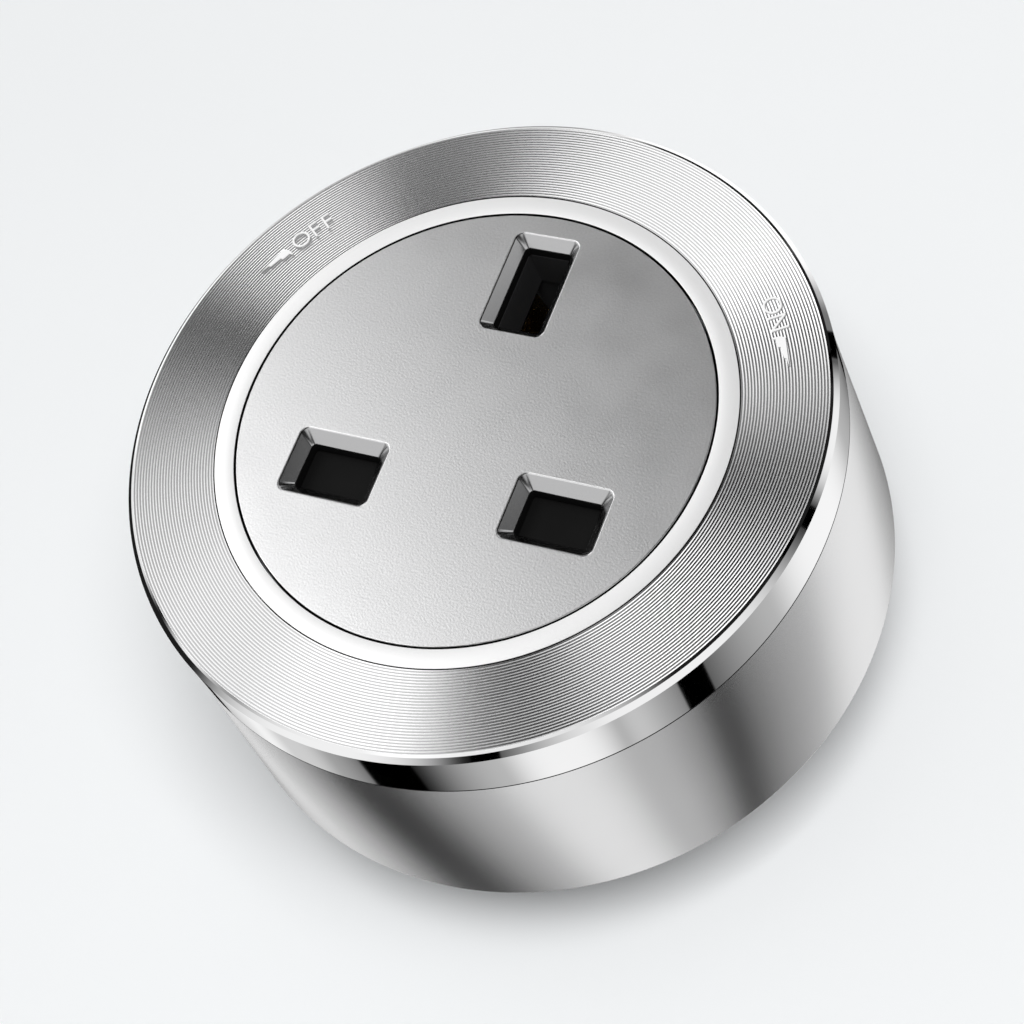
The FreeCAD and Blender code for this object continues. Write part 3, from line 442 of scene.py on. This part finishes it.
def ring_outline():
    level = face - RING_SINK
    half_pitch = groove_pitch / 2
    depth = half_pitch * math.tan(GROOVE_SLOPE)
    spigot_out = rim - SPIGOT_INSET
    spigot_in = spigot_out - SPIGOT_WALL
    ledge = groove_start + ACCENT_FOOT
    grooves = [(groove_start + k * half_pitch, level - depth * (k % 2)) for k in range(2 * GROOVE_COUNT + 1)]
    edge = [(groove_end + GROOVE_LAND, level), (groove_end + LIP_WIDTH, face - LIP_DROP),
            (rim, face - CHAMFER_DROP), (rim, seam + SEAM_BREAK), (rim - SEAM_BREAK, seam)]
    back = [(spigot_out, seam), (spigot_out, spigot_end), (spigot_in, spigot_end), (spigot_in, accent_back),
            (ledge, accent_back), (ledge, ledge_low), (groove_start, ledge_low)]
    return grooves + edge + back


bezel = turned("turned_bezel", ring_outline())
smooth(bezel, degrees=12)
finish_as(bezel, "bezel", bezel_metal(), slot_black)
# Painted shade: the bezel's upright walls by the accent ring get the near-black finish, for the shade in the
# gap between them
paint_gap_shade(bezel, 0, groove_start + ACCENT_FOOT + LEDGE_SEARCH)
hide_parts("bezel")
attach(bezel, "housing")

# Accent ring, with its edges just broken


def accent_outline():
    inside = plate_out + PLATE_GAP
    ledge = inside + PLATE_FOOT
    foot_top = accent_back + FOOT_HEIGHT
    return [(inside, face), (accent_out, face), (accent_out, foot_top), (accent_out + ACCENT_FOOT, foot_top),
            (accent_out + ACCENT_FOOT, accent_back), (ledge, accent_back), (ledge, ledge_low),
            (inside, ledge_low)]


accent = turned("pale_accent_ring", rounded(accent_outline(), ACCENT_ROUND, (0, 1)))
smooth(accent, degrees=40)
finish_as(accent, "accent", accent_white, slot_black)
# Painted shade: all upright walls of the accent ring get the near-black finish, for the shade in the gaps
# beside it
paint_gap_shade(accent, 0, rim)
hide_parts("accent_ring")
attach(accent, "housing")

# Body shell, smooth all round, with shade painted as a dark line in the seam's rounded corner


def shell_outline():
    bore = rim - SHELL_WALL
    rebate = base - REBATE_WALL
    ledge = base - LEDGE_WALL
    ledge_top = COVER_SEAT + LEDGE_HEIGHT
    return [(bore, seam), (rim, seam), (base, shell_back + BACK_BREAK), (base - BACK_BREAK, shell_back),
            (rebate, shell_back), (rebate, COVER_SEAT), (ledge, COVER_SEAT), (ledge, ledge_top),
            (base - ROOT_WALL, ledge_top + LEDGE_WALL - ROOT_WALL), (bore, seam - SPIGOT_BORE_DEPTH)]


shell = turned("flared_shell", rounded(shell_outline(), SEAM_ROUND, (1, 2, 3)))
smooth(shell)
finish_as(shell, "shell", shell_satin, slot_black)
# Painted shade: the upturned inner part of the seam's rounding gets the near-black finish, for the shade of
# the gap under the ring
for side in shell.data.polygons:
    if side.normal.z > SEAM_RISE and side.center.xy.length > (rim - SEAM_LINE) * MM:
        side.material_index = 1
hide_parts("body_shell")
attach(shell, "housing")

# Face plate: broken edges round the slots, smoother metal on their bevels, and black walls below

plate = dressed_copy("face_plate", "satin_face_plate", "housing", edge=0.13, segments=3)
finish_as(plate, "plate", plate_satin, slot_black, slot_bevel)
# Painted shade: the plate's outer wall, in the gap to the accent ring, gets the near-black finish
paint_gap_shade(plate, plate_out - WALL_SEARCH, rim)
bevel_foot = (face - BEVEL_DEPTH) * MM
for side in plate.data.polygons:
    if side.center.xy.length < (plate_out - PLATE_EDGE) * MM:
        if side.center.z < bevel_foot and abs(side.normal.z) < LINER_RISE:
            side.material_index = 1
        elif BEVEL_RISE[0] < side.normal.z < BEVEL_RISE[1] and side.center.z > bevel_foot:
            side.material_index = 2

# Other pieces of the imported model: those with broken edges, then those that keep their mesh

DRESSED = [
    # node, body, slot, finish, edge break
    ("rear_cover", "housing", "rear", rear_black, 0.12),
    ("track_pad", "housing", "pad", pad_rubber, 0.15),
    ("socket_core", "housing", "core", core_black, 0.05),
    ("shutter", "shutter", "shutter", slot_black, 0.1),
    ("rotor_stem", "housing", "guide", guide_grey, 0.08),
    ("guide_block", "guide", "guide", guide_grey, 0.12),
    ("guide_cap", "guide", "guide", guide_grey, 0.12),
    ("line_blade", "housing", "contact", contact_brass, 0.1),
    ("neutral_blade", "housing", "contact", contact_brass, 0.1),
    ("earth_blade", "housing", "contact", contact_brass, 0.1),
    ("line_clip", "housing", "contact", contact_brass, 0.05),
    ("neutral_clip", "housing", "contact", contact_brass, 0.05),
    ("earth_clip", "housing", "contact", contact_brass, 0.05),
    ("line_strap", "housing", "contact", contact_brass, 0.05),
    ("neutral_strap", "housing", "contact", contact_brass, 0.05),
    ("earth_strap", "housing", "contact", contact_brass, 0.05),
    ("clip_rivets", "housing", "contact", contact_brass, 0.08),
    ("cover_screws", "housing", "hardware", plated_steel, 0.08),
    ("cap_screws", "guide", "hardware", plated_steel, 0.08),
]
KEPT_MESHES = [
    (spring_steel, ("shutter_spring", "retaining_clip", "click_spring")),
    (plated_steel, ("spindle_washer", "stop_pin", "core_screws", "stem_screws")),
]
for node, body, slot, material, edge in DRESSED:
    finish_as(dressed_copy(node, f"{node}_edged", body, edge), slot, material)
for material, nodes in KEPT_MESHES:
    for node in nodes:
        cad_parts[node].data.materials.clear()
        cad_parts[node].data.materials.append(material)

# Words and arrows, raised on the ring face


def to_mesh(thing, name, turn, radius):
    """A flat curve or letter as a mesh, turned and carried out to its place on the ring."""
    select_only(thing)
    bpy.ops.object.convert(target="MESH")
    piece = bpy.context.object
    piece.name = piece.data.name = name
    outwards = Matrix.Translation((0, radius * MM, (face - RING_SINK) * MM))
    piece.data.transform(Matrix.Rotation(turn - TURN / 4, 4, "Z") @ outwards)
    edit(piece)
    close_seams()
    smooth(piece)
    finish_as(piece, "accent", word_white)
    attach(piece, "housing")
    return piece


def letter(character, name, turn, radius):
    """One letter with its top outwards, its middle at the radius."""
    curve = bpy.data.curves.new(name, "FONT")
    curve.body = character
    curve.align_x = "CENTER"
    curve.align_y = "CENTER"
    curve.size = LETTER_HEIGHT / CAPITAL_SHARE * MM
    curve.offset = -LETTER_THINNING * MM
    curve.extrude = WORD_RISE * MM
    curve.bevel_depth = LETTER_BREAK * MM
    return to_mesh(add_to_scene(name, curve), name, turn, radius)


# The arrow's stepped outline: along it from its broad end, and in from its smooth edge
ARROW = [(0, 0), (-0.2, 0.5), (-0.17, 1.2), (0, 1.15), (0, 0.9), (0.88, 0.79), (0.92, 0.53), (2.13, 0.36),
         (2.23, 0.14), (3.13, 0)]


def arrow(name, hand, base_angle, base_radius, tip_angle, tip_radius):
    """An arrow from its broad end to its tip; hand is 1 anticlockwise and -1 clockwise."""
    def spot(degrees, radius):
        return Vector((math.cos(math.radians(degrees)), math.sin(math.radians(degrees)))) * radius

    start = spot(base_angle, base_radius)
    along = (spot(tip_angle, tip_radius) - start).normalized()
    inward = Vector((-along.y, along.x)) * hand
    curve = bpy.data.curves.new(name, "CURVE")
    curve.dimensions = "2D"
    curve.fill_mode = "BOTH"
    curve.extrude = WORD_RISE * MM
    line = curve.splines.new("POLY")
    line.points.add(len(ARROW) - 1)
    for point, (forward, side) in zip(line.points, ARROW):
        flat = (start + along * forward + inward * side) * MM
        point.co = (flat.x, flat.y, 0, 1)
    line.use_cyclic_u = True
    return to_mesh(add_to_scene(name, curve), name, TURN / 4, 0)


# Each word's radius, and its letters with their angles in degrees from +X
WORDS = {
    "off": (28.9, [("O", 147.7), ("F", 144.4), ("F", 141.6)]),
    "on": (28.8, [("O", 36.7), ("N", 32.8)]),
}
for word, (radius, letters) in WORDS.items():
    for k, (character, angle) in enumerate(letters):
        letter(character, f"{word}_letter_{k + 1}", math.radians(angle), radius)
arrow("off_arrow", hand=1, base_angle=151.4, base_radius=29.43, tip_angle=157.5, tip_radius=29.25)
arrow("on_arrow", hand=-1, base_angle=29.4, base_radius=29.16, tip_angle=23.0, tip_radius=29.09)

# Camera, floor and light

CAMERA_PLACE = Vector((97.684, -94.386, 220.350)) * MM
CAMERA_AIM = Vector((4.848, -5.588, 23.980)) * MM
CAMERA_ROLL = math.radians(-28.92)
CAMERA_LENS = 91.52
FLOOR_SIDE = 3

camera_data = bpy.data.cameras.new("camera")
camera_data.lens = CAMERA_LENS
camera_data.sensor_width = 36
camera_data.clip_start = 0.01
camera_data.clip_end = 10
camera = add_to_scene("camera", camera_data)
camera.rotation_mode = "QUATERNION"
camera.location = CAMERA_PLACE
camera.rotation_quaternion = ((CAMERA_AIM - CAMERA_PLACE).to_track_quat("-Z", "Y")
                              @ Quaternion((0, 0, 1), CAMERA_ROLL))
bpy.context.scene.camera = camera

deselect()
bpy.ops.mesh.primitive_plane_add(size=FLOOR_SIDE, location=(0, 0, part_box("guide_cap")[0].z))
floor = bpy.context.object
floor.name = "pale_floor"
floor_paint = Finish("floor_paint", Roughness=0.6)
floor_tint = floor_paint.tint(floor_paint.grain(30), (0.885, 0.90, 0.91), (0.875, 0.89, 0.90))
floor_paint.set(Base_Color=floor_tint)
floor.data.materials.append(floor_paint.material)
floor.visible_glossy = False


def direction(azimuth, elevation):
    """Unit vector to a place in the sky, azimuth anticlockwise from +X."""
    a, e = math.radians(azimuth), math.radians(elevation)
    return Vector((math.cos(a) * math.cos(e), math.sin(a) * math.cos(e), math.sin(e)))


def soft_light(name, azimuth, elevation, distance, side, glow):
    """A square soft light; its glow is its brightness, where 1 is white."""
    lamp = bpy.data.lights.new(name, "AREA")
    lamp.size = side
    lamp.energy = glow * math.pi * side * side
    thing = add_to_scene(name, lamp)
    thing.visible_glossy = False
    thing.rotation_mode = "QUATERNION"
    thing.location = direction(azimuth, elevation) * distance
    thing.rotation_quaternion = (-direction(azimuth, elevation)).to_track_quat("-Z", "Y")


soft_light("top_light", azimuth=-32, elevation=70, distance=1.6, side=0.8, glow=11.4)

# The studio round the table, as the metal mirrors it: soft boxes that fade to their sides, and dark stands

sky = bpy.data.worlds.new("studio")
bpy.context.scene.world = sky
sky.use_nodes = True
sky.cycles.sampling_method = "NONE"
studio = Shading(sky.node_tree)
ray = studio.add("ShaderNodeTexCoord", output="Generated")
level_ray = studio.add("ShaderNodeVectorMath", {"operation": "NORMALIZE"}, {0: studio.scaled(ray, (1, 1, 0))})
height = studio.add("ShaderNodeSeparateXYZ", inputs={0: ray}, output="Z")


def ramp(value, low, high):
    """A soft step from 0 at low to 1 at high."""
    return studio.add("ShaderNodeMapRange", {"interpolation_type": "SMOOTHSTEP"},
                      {"Value": value, "From Min": low, "From Max": high})


def sine(degrees):
    return math.sin(math.radians(degrees))


def cosine(degrees):
    return math.cos(math.radians(degrees))


def sector(azimuth, half_width, soft_share=1.0):
    """1 in the middle of a range of azimuths in degrees and 0 off it, at all heights."""
    ahead = studio.add("ShaderNodeVectorMath", {"operation": "DOT_PRODUCT"},
                       {0: level_ray, 1: tuple(direction(azimuth, 0))}, "Value")
    return ramp(ahead, cosine(half_width), cosine(half_width * (1 - soft_share)))


def box(azimuth, half_width, lowest, highest, soft_share, soft_end=3):
    """1 in the middle of a soft box and 0 off it, by azimuth and elevation in degrees."""
    inside = sector(azimuth, half_width, soft_share)
    end = sine(soft_end)
    if lowest > -90:
        inside = inside * ramp(height, sine(lowest) - end, sine(lowest) + end)
    if highest < 90:
        inside = inside * (1 - ramp(height, sine(highest) - end, sine(highest) + end))
    return inside


SOFT_BOXES = [
    # azimuth, half width, lowest, highest, brightness, soft share of the half width
    (181, 33, 20, 70, 1.35, 0.6),
    (156, 23, 40, 68, 2.05, 1.0),
    (141, 10, 0, 32, 2.2, 1.0),
    (121, 14, 20, 40, 1.0, 1.0),
    (98, 19, 16, 46, 1.0, 1.0),
    (84, 26, 46, 68, 0.6, 1.0),
    (-140, 28, 48, 68, 1.8, 1.0),
    (-85, 60, 46, 64, 1.0, 1.0),
    (-120, 35, 0, 48, 1.1, 1.0),
    (-31, 52, 0, 38, 1.1, 1.0),
    (40, 18, 0, 29, 1.1, 1.0),
    (64, 8, -14, 8, 0.2, 0.3),
    (95, 34, -30, -3, 1.1, 1.0),
    (148, 30, -12, 2, 1.3, 0.4),
    (178, 20, 2, 14, 1.0, 0.6),
    (-166, 36, -90, -35, 0.45, 1.0),
    (-168, 18, -90, -35, 0.25, 1.0),
    (-74, 48, -90, -35, 0.6, 1.0),
    (-70, 22, -90, -35, 0.5, 1.0),
    (-35, 16, -90, -35, 0.34, 0.9),
    (48, 76, -90, -35, 0.6, 1.0),
    (50, 34, -90, -35, 0.5, 1.0),
    (168, 24, -90, -38, 0.5, 1.0),
    (135, 24, -90, -38, 0.8, 0.8),
]
DARK_STANDS = [
    # azimuth, half width, lowest, highest
    (-130, 10, -90, -35),
    (-20, 6, -90, -35),
    (158, 4, -90, -35),
    (113, 3.5, -90, -35),
    (-81, 4, 0, 50),
    (20.5, 3, 0, 50),
    (60, 3.2, -12, 30),
]

# Brightness, where 1 is white: of the dim room, the light overhead and the floor in the mirrored studio,
# and of what the camera and rough surfaces meet in its place
ROOM = 0.015
OVERHEAD = 0.85
FLOOR_GLOW = 0.3
FLOOR_POOL = 0.8
BACKGROUND = 0.9
PLAIN = 0.25

# The studio's floor shows just below the horizon, brighter in two pools and dark on one side
just_below = ramp(height, sine(-39), sine(-34)) * (1 - ramp(height, sine(-4), sine(0)))
lit_floor = FLOOR_GLOW + FLOOR_POOL * sector(-100, 60) + FLOOR_POOL * sector(20, 60)

# The light overhead grows from 70 degrees up, isn't quite full at the zenith, and leaves one side dark
OVERHEAD_FULL = 1.04
overhead = OVERHEAD * ramp(height, sine(70), OVERHEAD_FULL) * (1 - sector(-105, 60))
light = ROOM + overhead + lit_floor * just_below * (1 - sector(178, 34, 0.3))
for azimuth, half_width, lowest, highest, brightness, soft_share in SOFT_BOXES:
    light = light + brightness * box(azimuth, half_width, lowest, highest, soft_share)
for azimuth, half_width, lowest, highest in DARK_STANDS:
    light = light * (1 - box(azimuth, half_width, lowest, highest, soft_share=0.15, soft_end=1.5))
rays = studio.add("ShaderNodeLightPath", output="Is Glossy Ray")
camera_rays = Value(studio, rays.socket.node.outputs["Is Camera Ray"])
strength = rays * light + camera_rays * BACKGROUND + (1 - rays - camera_rays) * PLAIN
backdrop = sky.node_tree.nodes["Background"]
backdrop.inputs["Color"].default_value = (1, 1, 1, 1)
sky.node_tree.links.new(strength.socket, backdrop.inputs["Strength"])
